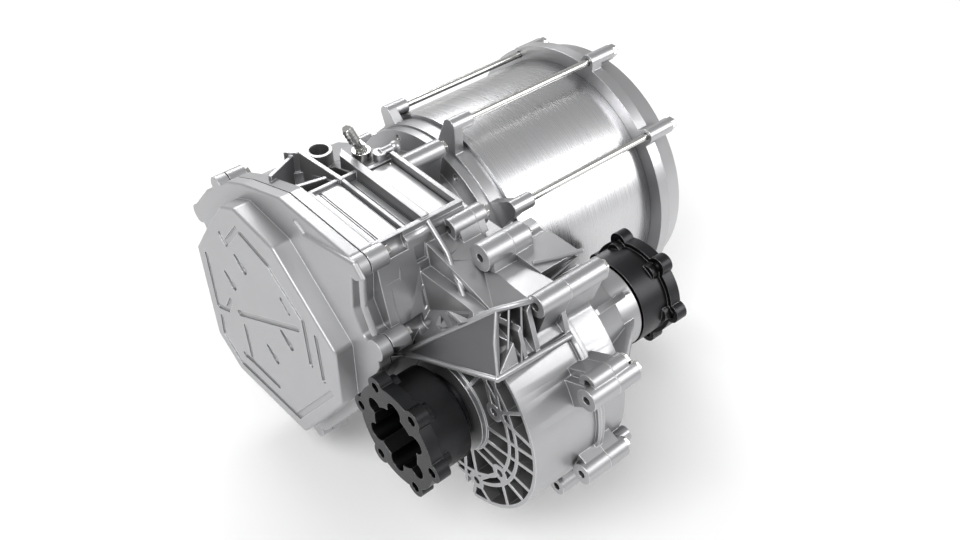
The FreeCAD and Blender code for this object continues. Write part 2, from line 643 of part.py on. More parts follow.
def bosses(solid, start, end):
    """Screw bosses across the split plane, cut to the stretch from start to end."""
    for spot, first, last, radius in SPLIT_BOSSES:
        if max(first, start) < min(last, end):
            toward = (spot[0] * 0.8, spot[1] * 0.8)
            if spot[0] > MOTOR[0] - 60:
                toward = (MOTOR[0] + (spot[0] - MOTOR[0]) * 0.74,
                          MOTOR[1] + (spot[1] - MOTOR[1]) * 0.74)
            solid = solid.fuse(rod(max(first, start), min(last, end), spot, radius))
            root_start, root_end = max(first + 4, start), min(last - 4, end)
            if root_end > root_start:
                solid = solid.fuse(link(spot, radius - 0.5, toward, radius + 2,
                                        root_start, root_end))
    return solid


def deck_rails():
    top, front, back = size("deck_z"), size("deck_front_y"), size("deck_back_y")
    high, thick = top + size("rail_h"), size("rail_t")
    end = split_x
    rails = [upright(((30, front - 4), (end, front - 4), (end, front), (30, front)), top - 8, high),
             upright(((30, back), (82, back), (82, back + 3), (30, back + 3)), top - 6, high - 2),
             upright(((end - thick, front - 2), (end, front - 2), (end, back + 2),
                      (end - thick, back + 2)), top - 8, high)]
    for start, stop, rise in ((37, 39, 3.5), (65, 68, 4)):
        rails.append(upright(((start, front - 2), (stop, front - 2), (stop, back + 2),
                              (start, back + 2)), top - 2, top + rise))
    rails.append(upright(((81, front - 2), (88, front - 2), (88, back + 30), (81, back + 22)),
                         top - 6, high + 2))
    return rails


def front_gusset():
    """Sloping roof over the drum with its three-cornered dark face."""
    roof = prism(((-20, 94), (15, 103), (62, 112), (62, 40), (0, 40)), 78, split_x)
    hip = prism(((33, 42), (-58, 76), (-44, 114), (20, 104), (62, 112), (62, 42)), 42, split_x)
    a, b, c = Vector(42, 33, 42), Vector(49, -58, 76), Vector(92, -44, 114)
    normal = (b - a).cross(c - a).normalize()
    if normal.x > 0:
        normal = -normal
    slab = Part.makeBox(400, 400, 120, Vector(-200, -200, 0))
    slab.Placement = Placement(a, Rotation(Vector(0, 0, 1), normal))
    hip = hip.cut(slab)
    window = ((-64, 80), (-50, 107), (-42, 112), (-24, 100), (-40, 72))
    for start, end in ((69, 75), (78, 86), (90, split_x - 4)):
        hip = hip.cut(prism(window, start, end))
    return [roof, hip]


def beads():
    """Raised cast ribs along the gusset, the wall and the shelf."""
    runs = (((40, 31, 41), (49, -57, 76), 2.6), ((49, -57, 76), (split_x - 3, -60, 76), 2.6),
            ((47, 33, 46), (92, -43, 115), 2.2), ((92, -43, 115), (split_x - 3, -48, 111), 2.2),
            ((86, 64, 124), (84, 38, 109), 2.2), ((84, 38, 109), (70, -6, 84), 2.2),
            ((52, 58, 112), (49, 37, 46), 1.4), ((69, 62, 121), (69, 37, 49), 1.2))
    solids = []
    for first, last, radius in runs:
        solids.append(strut(first, last, radius))
        solids.append(Part.makeSphere(radius, Vector(*last)))
    return solids


def main_housing():
    face_x, deck_z = size("drum_face_x"), size("deck_z")
    drum = rod(face_x, split_x, OUTPUT, size("drum_r")).cut(lattice())
    shell = joined([rounded_prism(PLATE, 5, gasket_end, 34),
                    rounded_prism(BODY, 5, 33, split_x), drum,
                    rod(face_x - 4, 76, OUTPUT, 40),
                    link(OUTPUT, size("drum_r"), MOTOR, size("motor_case_r") - wall, 68, split_x)]
                   + front_gusset())
    shell = shell.fuse(deck_rails() + beads())
    for spot in COVER_LUGS:
        shell = shell.fuse(rod(gasket_end, 40, spot, size("boss_r")))
    shell = bosses(shell, 0, split_x)
    shell = shell.fuse(rod(split_x - size("lip_t"), split_x, OUTPUT, size("drum_r") + size("lip_h")))
    # hollow out: gear space, inverter bay, the chamber under the deck
    gear_space = link(OUTPUT, size("drum_r") - wall, MOTOR, size("motor_case_r") - 2 * wall,
                      74, split_x)
    lump = [rod(58, 76, COUNTER, size("counter_r") + size("bearing_ring") + wall),
            rod(58, 76, MOTOR, size("spline_r") + size("bearing_ring") + wall)]
    back_space = rounded_prism(near_motor(((-60, 80), (-100, 30), (-36, -80), (60, -84), (88, -60),
                                           (88, 40), (30, 92))), 8, 58, 76).cut(lump)
    duct_walls = box(52, split_x, (DUCT[0][0] - wall, DUCT[0][1] - wall),
                     (DUCT[1][0] + wall, DUCT[1][1] + wall))
    shell = shell.cut(gear_space.fuse(back_space).cut(duct_walls))
    shell = shell.cut(rounded_prism(BAY, 8, 0, seat_x + size("bay_depth")))
    chamber = upright(((40, 76), (split_x - wall, 76), (split_x - wall, 138), (40, 138)),
                      size("roof_z") - 16, size("deck_z") - 6)
    opening = upright(((92, 74), (split_x - 8, 74), (split_x - 8, 138), (92, 138)),
                      size("roof_z") - 10, size("deck_z"))
    passage = upright(((42, 118), (50, 118), (50, 136), (42, 136)), 60, size("roof_z"))
    shell = shell.cut([chamber, opening, passage])
    shell = shell.cut(box(0, split_x, *DUCT))
    # panels of the deck sunk between its ribs
    for start, end in ((68, 81), (88, split_x - 4)):
        shell = shell.cut(upright(((start, 66), (end, 66), (end, 146), (start, 146)),
                                  deck_z - 4, deck_z + 1))
    for corners in (((35, 151), (62, 151), (61, 192), (52, 202), (35, 216)),
                    ((68, 151), (80, 151), (80, 176), (68, 196))):
        shell = shell.cut(upright(corners, deck_z - 26, deck_z + 20))
    shell = shell.fuse([plan_bar((66, 144), (62, 197), 3.6, deck_z - 26, deck_z + 4.6),
                        plan_bar((62, 197), (53, 206), 3.6, deck_z - 26, deck_z + 4),
                        plan_bar((28, 188), (57, 201), 3, deck_z - 26, deck_z + 1),
                        plan_bar((32, 163), (60, 157), 3, deck_z - 26, deck_z + 2),
                        Part.makeCylinder(11, 34, Vector(77, 192, deck_z - 32))])
    shell = shell.cut(Part.makeCylinder(8, 14, Vector(77, 192, deck_z - 12)))
    for (x, y), radius in (BARB_PORT, BREATHER_PORT):
        shell = shell.cut(Part.makeCylinder(radius, 60, Vector(x, y, deck_z - 8)))
    # seats for the seal and the bearings
    for centre, seat in ((OUTPUT, "journal_r"), (COUNTER, "counter_r"), (MOTOR, "spline_r")):
        shell = shell.cut(rod(size("bearing_x"), 76, centre, size(seat) + size("bearing_ring")))
    shell = shell.cut(rod(0, size("bearing_x"), OUTPUT, size("stub_r") + 8))
    # screw holes
    for spot in COVER_LUGS:
        shell = shell.cut([rod(gasket_end, 40, spot, size("boss_hole_r")),
                           rod(40, 62, spot, 7.5)])
    for spot, first, last, radius in SPLIT_BOSSES:
        shell = shell.cut([rod(first, min(first + 12, split_x), spot, size("boss_hole_r")),
                           rod(first, split_x, spot, 2.6)])
    for spot in PILLARS:
        shell = shell.fuse(rod(18, seat_x + size("bay_depth"), spot, 4))
        shell = shell.cut(rod(18, 30, spot, 1.6))
    return shell


BARB_PORT, BREATHER_PORT = ((101, 167), 7.9), ((109, 153), 5.5)
PILLARS = near_motor(((-92, 28), (-30, 84), (60, 40), (60, -76), (-40, -70)))
cast("main_housing", main_housing())


# Right housing: closes the gear case, carries the motor and the right output hub.

def right_housing():
    end_x, flange_x = size("gear_end_x"), size("motor_flange_x")
    case_r = size("motor_case_r")
    web_top = [(-25, 88), (-25, size("roof_z")), (27, size("roof_z")), (40, 96), (40, 70)]
    shell = joined([link(OUTPUT, size("drum_r"), MOTOR, case_r - wall, split_x, split_x + wall),
                    link(OUTPUT, size("drum_r") - 3, MOTOR, case_r - wall, split_x, end_x),
                    rod(end_x, flange_x - 9, MOTOR, case_r - 3 * wall),
                    rod(flange_x - 9, flange_x, MOTOR, case_r + 2),
                    Part.makeCone(size("hub_root_r") + 4, size("hub_r") + 4, 52,
                                  Vector(end_x, 0, 0), Vector(1, 0, 0)),
                    rod(end_x, size("hub_end_x"), OUTPUT, size("hub_r")),
                    rod(end_x, end_x + 14, COUNTER, size("counter_r") + size("bearing_ring") + 7),
                    prism(web_top, split_x, size("web_end_x"))])
    for index in range(10):
        spoke = 36 * index + 18
        near, far = on_circle(OUTPUT, 30, spoke), on_circle(OUTPUT, size("drum_r") - 8, spoke)
        fin = Part.makePolygon([Vector(end_x - 1, *near), Vector(end_x - 1, *far),
                                Vector(end_x + 6, *far),
                                Vector(size("hub_end_x") - 8, *on_circle(OUTPUT, size("hub_r"),
                                                                         spoke)),
                                Vector(size("hub_end_x") - 8, *near), Vector(end_x - 1, *near)])
        side = Vector(0, -math.sin(math.radians(spoke)), math.cos(math.radians(spoke)))
        plate = Part.Face(fin).extrude(side * 5)
        plate.translate(side * -2.5)
        shell = shell.fuse(plate)
    # pockets between the fins, sunk into the cone
    for index in range(10):
        spot = on_circle(OUTPUT, size("hub_root_r") - 2, 36 * index)
        pocket = Part.makeBox(16, 20, 15, Vector(end_x + 5, -10, -7.5))
        pocket.rotate(Vector(), Vector(1, 0, 0), 36 * index)
        pocket.translate(Vector(0, *spot))
        shell = shell.cut(pocket)
    shell = bosses(shell, split_x, 300)
    shell = shell.fuse(rod(split_x, split_x + size("lip_t"), OUTPUT, size("drum_r") + size("lip_h")))
    for degrees in (-20, -32):
        shell = shell.fuse(rod(end_x - 24, end_x + 6, on_circle(OUTPUT, size("drum_r") + 2,
                                                                 180 - degrees), 6.5))
    gear_space = link(OUTPUT, size("drum_r") - wall, MOTOR, case_r - 2 * wall, split_x,
                      end_x - wall)
    duct_walls = box(split_x, end_x, (DUCT[0][0] - wall, DUCT[0][1] - wall),
                     (DUCT[1][0] + wall, DUCT[1][1] + wall))
    shell = shell.cut(gear_space.cut(duct_walls))
    shell = shell.fuse(box(end_x, flange_x, (DUCT[0][0] - wall, DUCT[0][1] - wall),
                           (DUCT[1][0] + wall, DUCT[1][1] + wall)))
    hollow = rod(end_x, flange_x, MOTOR, case_r - 4 * wall)
    post = rod(end_x, flange_x - 8, MOTOR, size("rotor_shaft_r") + size("bearing_ring") + wall)
    counter_post = rod(end_x, end_x + 14, COUNTER, size("counter_r") + size("bearing_ring") + 7)
    shell = shell.cut(hollow.cut([post, counter_post])).fuse(post)
    shell = shell.cut(box(split_x, flange_x, *DUCT))
    for centre, seat in ((OUTPUT, "journal_r"), (COUNTER, "counter_r")):
        shell = shell.cut(rod(end_x - wall, end_x - wall + size("bearing_t"), centre,
                              size(seat) + size("bearing_ring")))
    shell = shell.cut([rod(end_x, size("hub_end_x"), OUTPUT, size("stub_r") + 4),
                       rod(size("hub_end_x") - 21, size("hub_end_x"), OUTPUT, size("stub_r") + 8),
                       rod(size("hub_end_x") - 11, size("hub_end_x"), OUTPUT,
                           size("joint_neck_r") + 1),
                       rod(end_x - wall, flange_x, MOTOR, size("rotor_shaft_r") + 1),
                       rod(flange_x - 24, flange_x, MOTOR,
                           size("rotor_shaft_r") + size("bearing_ring"))])
    for spot, first, last, radius in SPLIT_BOSSES:
        if last > split_x:
            shell = shell.cut([rod(split_x, last, spot, 3), rod(last, last + 30, spot, 7)])
    for spot in FLANGE_BOLTS:
        shell = shell.cut(rod(flange_x - 9, flange_x, spot, 3))
    return shell.removeSplitter()


cast("right_housing", right_housing())


def screws(label, seats, radius, head_r, head_h, hex_head=True):
    """Group of equal screws; each seat is (spot, head face x, tip x)."""
    solids = []
    for spot, head_x, tip_x in seats:
        way = 1 if tip_x > head_x else -1
        low, high = sorted((head_x, head_x - way * head_h))
        if hex_head:
            head = prism([on_circle(spot, head_r, 60 * side + 30) for side in range(6)], low, high)
        else:
            head = rod(low, high, spot, head_r)
        shank = rod(min(head_x, tip_x), max(head_x, tip_x), spot, radius)
        solids.append(head.fuse(shank).removeSplitter())
    return cast(label, Part.makeCompound(solids))


screws("split_screws", [(spot, last, max(split_x - 8, first + 2))
                        for spot, first, last, radius in SPLIT_BOSSES if last > split_x + 4],
       2.6, 5.6, 5)
screws("motor_flange_screws", [(spot, size("tube_start_x"), size("motor_flange_x") - 8)
                               for spot in FLANGE_BOLTS], 3, 4.6, 5, False)
screws("cover_screws", [(spot, 40, 17) for spot in COVER_LUGS], 3.2, 5.8, 4.5)

# Inverter cover with its gasket.

CHANNELS = (((197, 81), (153, 72)), ((153, 72), (109, 43)), ((109, 43), (106, -2)),
            ((197, 81), (223, 50)), ((223, 50), (230, 56)), ((267, 10), (265, -49)),
            ((265, -49), (246, -41)), ((246, -41), (235, -23)), ((262, -62), (264, -84)),
            ((264, -84), (238, -102)), ((238, -102), (142, -95)), ((142, -95), (79, -14)),
            ((228, -84), (213, -82)), ((216, -41), (213, -82)), ((213, -82), (171, -80)),
            ((223, -29), (120, 27)), ((139, 44), (131, 37)), ((92, 37), (89, -7)))


RIDGES = (((-50, 138), (-62, 151 - 18), (-126, 146), (-134, 138), (-133, 112), (-143, 92)),)
DIMPLES = ((19, 56), (45, 21), (-42, 14), (-12, -25))


def inverter_cover():
    face_x, step_x = size("pod_face_x"), size("pod_step_x")
    pod = rounded_prism(POD, 6, face_x, seat_x)
    front = [edge for edge in pod.Edges
             if edge.BoundBox.XMax < face_x + 0.01]
    pod = pod.makeFillet(2.4, front)
    plate = rounded_prism(PLATE, 5, step_x, seat_x)
    rim = [edge for edge in plate.Edges if edge.BoundBox.XMax < step_x + 0.01]
    plate = plate.makeFillet(2.2, rim)
    shell = joined([plate, pod] + [rod(step_x, seat_x, spot, size("boss_r"))
                                   for spot in COVER_LUGS])
    for run in RIDGES:
        spots = [Vector(step_x, MOTOR[0] + y, MOTOR[1] + z) for y, z in run]
        for first, last in zip(spots, spots[1:]):
            shell = shell.fuse([Part.makeCylinder(2.6, (last - first).Length, first,
                                                  last - first),
                                Part.makeSphere(2.6, first), Part.makeSphere(2.6, last)])
    shell = shell.cut(inset(POD, 6, size("cover_wall"), face_x + size("cover_wall"), seat_x))
    for y, z in near_motor(DIMPLES):
        drop = [link((y, z), 5.4, (y + 11, z + 7), 2.6, face_x, face_x + 2.6)]
        shell = shell.cut(drop)
    for first, last in CHANNELS:
        first = (first[0] + MOTOR[0] - 179, first[1] + MOTOR[1] + 18)
        last = (last[0] + MOTOR[0] - 179, last[1] + MOTOR[1] + 18)
        shell = shell.cut(link(first, 3.1, last, 3, face_x, face_x + 1.8))
    for spot in COVER_LUGS:
        shell = shell.cut(rod(16, seat_x, spot, 3.2))
    return shell


cast("inverter_cover", inverter_cover())
seal = rounded_prism(PLATE, 5, seat_x, gasket_end).cut(
    inset(PLATE, 5, 9, seat_x, gasket_end).common(rounded_prism(BODY, 5, seat_x, gasket_end)))
for spot in COVER_LUGS:
    seal = seal.fuse(rod(seat_x, gasket_end, spot, size("boss_r") - 0.5))
for spot in COVER_LUGS:
    seal = seal.cut(rod(seat_x, gasket_end, spot, 3.4))
cast("inverter_cover_gasket", max(seal.Solids, key=lambda solid: solid.Volume))

# Inverter inside: power module, capacitor, boards, busbars.

bay_floor = seat_x + size("bay_depth")
y0, z0 = MOTOR
cooler = box(bay_floor - 8, bay_floor, (y0 - 49, z0 - 60), (y0 + 46, z0 - 6))
cast("power_module_base", cooler)
phases = []
for index in range(3):
    low = y0 - 46 + index * 31
    phases.append(box(bay_floor - 20, bay_floor - 8, (low, z0 - 56), (low + 26, z0 - 10)))
cast("power_modules", Part.makeCompound(phases))
cast("dc_link_capacitor", rounded_prism(((y0 - 76, z0 + 12), (y0 + 44, z0 + 12),
                                         (y0 + 44, z0 + 70), (y0 - 76, z0 + 70)), 6,
                                        bay_floor - 26, bay_floor))
cast("gate_driver_board", box(bay_floor - 22, bay_floor - 20, (y0 - 48, z0 - 62),
                              (y0 + 46, z0 - 4)))
board = rounded_prism(near_motor(((-98, 6), (-98, 44), (-36, 92), (30, 88), (72, 60), (78, 0),
                                  (72, -70), (54, -84), (-44, -78))), 5, 16, 18)
board_screws = []
for spot in PILLARS:
    board = board.cut(rod(16, 18, spot, 1.7))
cast("control_board", board)
screws("board_screws", [(spot, 16, 26) for spot in PILLARS], 1.6, 3.2, 2, False)
chips = []
for (y, z), (wide, high), thick in (((-40, 30), (22, 22), 2), ((10, 40), (14, 14), 1.6),
                                    ((40, 20), (12, 18), 3), ((-50, -30), (16, 10), 2.4),
                                    ((10, -20), (20, 12), 2), ((40, -40), (10, 20), 6),
                                    ((-10, -52), (34, 9), 7)):
    chips.append(box(16 - thick, 16, (y0 + y, z0 + z), (y0 + y + wide, z0 + z + high)))
cast("board_components", Part.makeCompound(chips))
bars = []
for index in range(3):
    y = DUCT[0][0] + 0.5 + index * 6
    level = bay_floor - 19 + 4 * index
    low, high = z0 - 61.7, z0 - 56.3
    lead = box(level, level + 1.6, (y0 - 33 + index * 31, low), (y + 4.5, high))
    run = box(level, size("stator_start_x") - size("winding_len"), (y, low), (y + 4.5, high))
    bars.append(lead.fuse(run).removeSplitter())
cast("phase_busbars", Part.makeCompound(bars))

# Deck lid and the fittings on top of the housing.

deck_z = size("deck_z")
lid_z = deck_z - 4
lid = upright(((89, 69), (split_x - 5, 69), (split_x - 5, 145), (89, 145)), lid_z,
              lid_z + size("lid_t"))
lid_spots = [(x, y) for x in (90.8, split_x - 6.8) for y in (71, 143)]
lid_screws = []
for x, y in lid_spots:
    drill = Part.makeCylinder(1, size("lid_t"), Vector(x, y, lid_z))
    lid = lid.cut(drill)
    head = Part.makeCylinder(1.7, 0.8, Vector(x, y, lid_z + size("lid_t")))
    lid_screws.append(drill.fuse(head))
cast("deck_lid", lid)
cast("deck_lid_screws", Part.makeCompound(lid_screws))


def barb(base, tip, radius, barbs):
    """Hose barb: a stem with a run of small cones that point back along it."""
    base, tip = Vector(*base), Vector(*tip)
    run = tip - base
    way = Vector(run).normalize()
    stem = Part.makeCylinder(radius, run.Length, base, way)
    cones = []
    for index in range(barbs):
        start = tip - way * (4.2 * (index + 1))
        cones.append(Part.makeCone(radius + 1.4, radius, 4, start, way))
    (x, y), foot_r = BARB_PORT
    foot = Part.makeCylinder(foot_r, 12, Vector(x, y, deck_z - 8))
    collar = Part.makeCylinder(radius + 2, 5, base - way * 2, way)
    return joined([foot, collar, stem] + cones)


cast("coolant_barb", barb((101, 167, 124), (87, 164, 154), 3.4, 4))
(x, y), foot_r = BREATHER_PORT
plug = joined([Part.makeCylinder(foot_r, 14, Vector(x, y, deck_z - 8)),
               rod(x, x + 15, (y, deck_z + 4), 3.8), Part.makeSphere(5, Vector(x + 15, y, deck_z + 4))])
cast("breather_elbow", plug)

# Check every object and every sub-part, then write one file for each sub-part.

doc.recompute()
faults = [item.Label for item in doc.Objects
          if "Invalid" in item.State or "Error" in item.State]
faults += [piece.Label for piece in parts
           if piece.Shape.isNull() or not piece.Shape.isValid()]
if faults:
    raise SystemExit("failed: " + ", ".join(faults))
os.makedirs("parts", exist_ok=True)
for piece in parts:
    piece.Shape.exportStep(os.path.join("parts", piece.Label + ".step"))
print(len(parts), "sub-parts written")
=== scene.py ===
import math
import bmesh
import bpy
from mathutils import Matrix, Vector


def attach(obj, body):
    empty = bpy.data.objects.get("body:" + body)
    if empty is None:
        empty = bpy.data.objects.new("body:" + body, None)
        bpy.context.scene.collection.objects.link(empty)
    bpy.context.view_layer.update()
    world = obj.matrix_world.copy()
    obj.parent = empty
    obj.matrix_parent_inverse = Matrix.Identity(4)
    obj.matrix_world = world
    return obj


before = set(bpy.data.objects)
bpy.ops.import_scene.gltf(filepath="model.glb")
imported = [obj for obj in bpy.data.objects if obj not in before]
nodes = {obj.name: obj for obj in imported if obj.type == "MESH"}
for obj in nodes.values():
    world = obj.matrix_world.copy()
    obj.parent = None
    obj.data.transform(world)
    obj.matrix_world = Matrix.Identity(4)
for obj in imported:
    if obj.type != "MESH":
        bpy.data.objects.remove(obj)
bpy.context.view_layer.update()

MM = 0.001


# Gear case halves: die-cast aluminium, shot-blasted to an even satin skin.
# The edges are rubbed bright and partly carry a painted highlight, the corners
# carry painted shade, and the pockets between the ribs of the drum's face are
# painted nearly black as shade.

EDGE_RADIUS, GRAIN_HEIGHT = 0.0011, 0.0002
# Near-white colour mixed onto edges: partly wear, partly a painted highlight.
EDGE_WEAR_AND_HIGHLIGHT_COLOUR = (0.92, 0.92, 0.93, 1)


def cast_skin(name, colour, rough, grain=900, depth=0.15, edge=0.4, metallic=1.0, patch=0.10,
              crevice_shade=0.45, reach=0.022):
    """A metal or plastic skin: fine grain, broad patches, rubbed edges with a painted highlight,
    painted shade in corners.
    """
    mat = bpy.data.materials.new(name)
    mat.use_nodes = True
    tree = mat.node_tree
    join, shader = tree.links.new, tree.nodes["Principled BSDF"]
    place = tree.nodes.new("ShaderNodeTexCoord")
    fine = tree.nodes.new("ShaderNodeTexNoise")
    fine.inputs["Scale"].default_value = grain
    fine.inputs["Detail"].default_value = 4
    broad = tree.nodes.new("ShaderNodeTexNoise")
    broad.inputs["Scale"].default_value = 22
    broad.inputs["Detail"].default_value = 5
    for noise in (fine, broad):
        join(place.outputs["Object"], noise.inputs["Vector"])
    rounded = tree.nodes.new("ShaderNodeBevel")
    rounded.samples = 6
    rounded.inputs["Radius"].default_value = EDGE_RADIUS
    flat = tree.nodes.new("ShaderNodeNewGeometry")
    turn = tree.nodes.new("ShaderNodeVectorMath")
    turn.operation = "DOT_PRODUCT"
    join(rounded.outputs["Normal"], turn.inputs[0])
    join(flat.outputs["Normal"], turn.inputs[1])
    # Edges are lightened towards that colour: partly wear, partly a painted highlight.
    edge_wear_and_highlight = tree.nodes.new("ShaderNodeMapRange")
    edge_wear_and_highlight.inputs["From Min"].default_value = 0.995
    edge_wear_and_highlight.inputs["From Max"].default_value = 0.80
    edge_wear_and_highlight.inputs["To Max"].default_value = edge
    join(turn.outputs["Value"], edge_wear_and_highlight.inputs["Value"])
    tone = tree.nodes.new("ShaderNodeMapRange")
    tone.inputs["To Min"].default_value = 1 - patch
    tone.inputs["To Max"].default_value = 1 + patch / 2
    join(broad.outputs["Fac"], tone.inputs["Value"])
    # Ambient occlusion darkens the colour in corners and creases: painted shade.
    corner = tree.nodes.new("ShaderNodeAmbientOcclusion")
    corner.samples = 6
    corner.inputs["Distance"].default_value = reach
    shade = tree.nodes.new("ShaderNodeMapRange")
    shade.inputs["From Min"].default_value = 0.15
    shade.inputs["From Max"].default_value = 0.85
    shade.inputs["To Min"].default_value = 1 - crevice_shade
    join(corner.outputs["AO"], shade.inputs["Value"])
    both = tree.nodes.new("ShaderNodeMath")
    both.operation = "MULTIPLY"
    join(tone.outputs["Result"], both.inputs[0])
    join(shade.outputs["Result"], both.inputs[1])
    base = tree.nodes.new("ShaderNodeMix")
    base.data_type = "RGBA"
    base.blend_type = "MULTIPLY"
    base.inputs["Factor"].default_value = 1
    base.inputs[6].default_value = (*colour, 1)
    join(both.outputs["Value"], base.inputs[7])
    bright = tree.nodes.new("ShaderNodeMix")
    bright.name = "worn_and_highlit_edges"
    bright.data_type = "RGBA"
    bright.inputs[7].default_value = EDGE_WEAR_AND_HIGHLIGHT_COLOUR
    join(edge_wear_and_highlight.outputs["Result"], bright.inputs["Factor"])
    join(base.outputs[2], bright.inputs[6])
    join(bright.outputs[2], shader.inputs["Base Color"])
    dull = tree.nodes.new("ShaderNodeMapRange")
    dull.inputs["To Min"].default_value = rough * 0.8
    dull.inputs["To Max"].default_value = rough * 1.2
    join(fine.outputs["Fac"], dull.inputs["Value"])
    join(dull.outputs["Result"], shader.inputs["Roughness"])
    bump = tree.nodes.new("ShaderNodeBump")
    bump.name = "grain"
    bump.inputs["Strength"].default_value = depth
    bump.inputs["Distance"].default_value = GRAIN_HEIGHT
    join(fine.outputs["Fac"], bump.inputs["Height"])
    join(rounded.outputs["Normal"], bump.inputs["Normal"])
    join(bump.outputs["Normal"], shader.inputs["Normal"])
    shader.inputs["Metallic"].default_value = metallic
    return mat


def dress(mat, *names):
    """Gives the named CAD pieces one skin."""
    for name in names:
        for slot in nodes[name].material_slots:
            slot.material = mat


case_cast = cast_skin("case_casting", (0.44, 0.44, 0.45), 0.40, edge=0.6, metallic=0.88)
dress(case_cast, "main_housing")
right_cast = cast_skin("right_case_casting", (0.42, 0.42, 0.43), 0.38, edge=0.6, metallic=0.88)
dress(right_cast, "right_housing")

# A thin, nearly black ring on the floor of the open pockets in the drum's face.
# It stands in for the shade of pockets that are deeper on the real casting.
pocket_shade_skin = cast_skin("pocket_floor_painted_shade", (0.016, 0.016, 0.018), 0.6, edge=0.0, metallic=0.0)
pocket_inner_r, pocket_outer_r, pocket_floor_x = 0.0405, 0.0907, 0.0664
floor_mesh = bpy.data.meshes.new("pocket_floor")
arc_start, arc_step, arc_points = 150, 5, 49
arc = [math.radians(arc_start + arc_step * step) for step in range(arc_points)]
ring_points = [(pocket_floor_x, r * math.cos(turn), r * math.sin(turn))
               for turn in arc for r in (pocket_inner_r, pocket_outer_r)]
floor_mesh.from_pydata(ring_points, [], [(2 * i, 2 * i + 1, 2 * i + 3, 2 * i + 2)
                                         for i in range(len(arc) - 1)])
floor_mesh.materials.append(pocket_shade_skin)
pocket_floor = bpy.data.objects.new("pocket_floor", floor_mesh)
bpy.context.collection.objects.link(pocket_floor)
floor_depth = pocket_floor.modifiers.new("depth", "SOLIDIFY")
floor_depth.thickness = 0.4 * MM
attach(pocket_floor, "stationary")


# Gusset over the drum: a three-cornered cast wall between the inverter bay and
# the drum, with a bright ridge on top and thin ribs in the window beside it.
# It is one casting with the case; here it stands on the case's sloping roof.

def slab(name, corners, thickness, mat):
    """A flat plate with the given outline in millimetres, thickened to one side."""
    points = [Vector(corner) * MM for corner in corners]
    normal = (points[1] - points[0]).cross(points[2] - points[0]).normalized()
    count = len(points)
    back = [point + normal * thickness * MM for point in points]
    faces = [tuple(range(count)), tuple(reversed(range(count, 2 * count)))]
    for index in range(count):
        after = (index + 1) % count
        faces.append((after, index, index + count, after + count))
    mesh = bpy.data.meshes.new(name)
    mesh.from_pydata(points + back, [], faces)
    mesh.update()
    made = bpy.data.objects.new(name, mesh)
    bpy.context.collection.objects.link(made)
    soft = made.modifiers.new("soft_edges", "BEVEL")
    soft.width = min(0.0005, thickness * 0.0003)
    soft.segments = 2
    mesh.materials.append(mat)
    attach(made, "stationary")
    return made


def bead(name, points, radius, mat):
    """A round cast rib along the given points in millimetres."""
    curve = bpy.data.curves.new(name, "CURVE")
    curve.dimensions = "3D"
    curve.bevel_depth = radius * MM
    curve.bevel_resolution = 4
    curve.use_fill_caps = True
    line = curve.splines.new("POLY")
    line.points.add(len(points) - 1)
    for point, spot in zip(line.points, points):
        point.co = (*(Vector(spot) * MM), 1)
    made = bpy.data.objects.new(name, curve)
    bpy.context.collection.objects.link(made)
    curve.materials.append(mat)
    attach(made, "stationary")
    return made


def carve(node, name, corners):
    """Takes the hull of some points in millimetres out of a casting, as the core does."""
    hull = bmesh.new()
    for corner in corners:
        hull.verts.new(Vector(corner) * MM)
    bmesh.ops.convex_hull(hull, input=hull.verts)
    mesh = bpy.data.meshes.new(name)
    hull.to_mesh(mesh)
    hull.free()
    core = bpy.data.objects.new(name, mesh)
    bpy.context.collection.objects.link(core)
    core.hide_render = True
    core.hide_viewport = True
    cut = nodes[node].modifiers.new(name, "BOOLEAN")
    cut.operation = "DIFFERENCE"
    cut.solver = "EXACT"
    cut.object = core


# The gusset's face is the same metal as the case but gets a darker skin: painted shade.
gusset_face_shaded_cast = cast_skin("gusset_face_painted_shade", (0.20, 0.20, 0.21), 0.40, edge=0.5,
                      metallic=0.88)
gusset_left, gusset_foot = (40, 40, 33), (49, -58, 76)
gusset_top, gusset_bend = (69, -33, 112), (92, -44, 114)
carve("main_housing", "gusset_pocket",
      ((41, 39, 31), (41, 51, 95), (41, 57, 122), (41, 57, 150), (68, 41, 60), (68, 52, 95),
       (68, 57, 150), (68, -30, 107), (68, -30, 150)))
carve("main_housing", "gusset_corner",
      [(x, y, z) for x in (67, 77) for y in (-28, 56) for z in (99, 150)])
gusset_face = (gusset_left, gusset_foot, gusset_top)
front_reach, face_lift, face_thickness = 26, 0.6, 3
away = Vector((-0.898, 0.104, 0.427)) * front_reach
carve("main_housing", "gusset_front",
      [Vector(corner) + away * far for corner in gusset_face for far in (0, 1)])
lift = away.normalized() * face_lift
slab("gusset_face", [Vector(corner) + lift for corner in gusset_face], -face_thickness, gusset_face_shaded_cast)
bead("gusset_ridge", (gusset_left, gusset_top, gusset_bend, (116, -48, 112)), 2.3, case_cast)
bead("gusset_foot_rib", (gusset_left, gusset_foot, (116, -60, 76)), 2.5, case_cast)
bead("gusset_window_rib", (gusset_top, (58, -44, 95), gusset_foot), 1.2, case_cast)
for number, (top, foot) in enumerate((((76, -37, 111), (58, -57, 78)),
                                      ((84, -41, 112), (70, -58, 78)))):
    inner_top = (top[0] + 9, top[1] + 8, top[2] - 9)
    inner_foot = (foot[0] + 6, foot[1] + 5, foot[2])
    slab("gusset_slat_%d" % (number + 1), (top, foot, inner_foot, inner_top), 1.6, case_cast)


# Web to the motor: a thin cast web between the gear case and the motor flange,
# with a bright ridge along its front edge and a rib in the hollow under it.

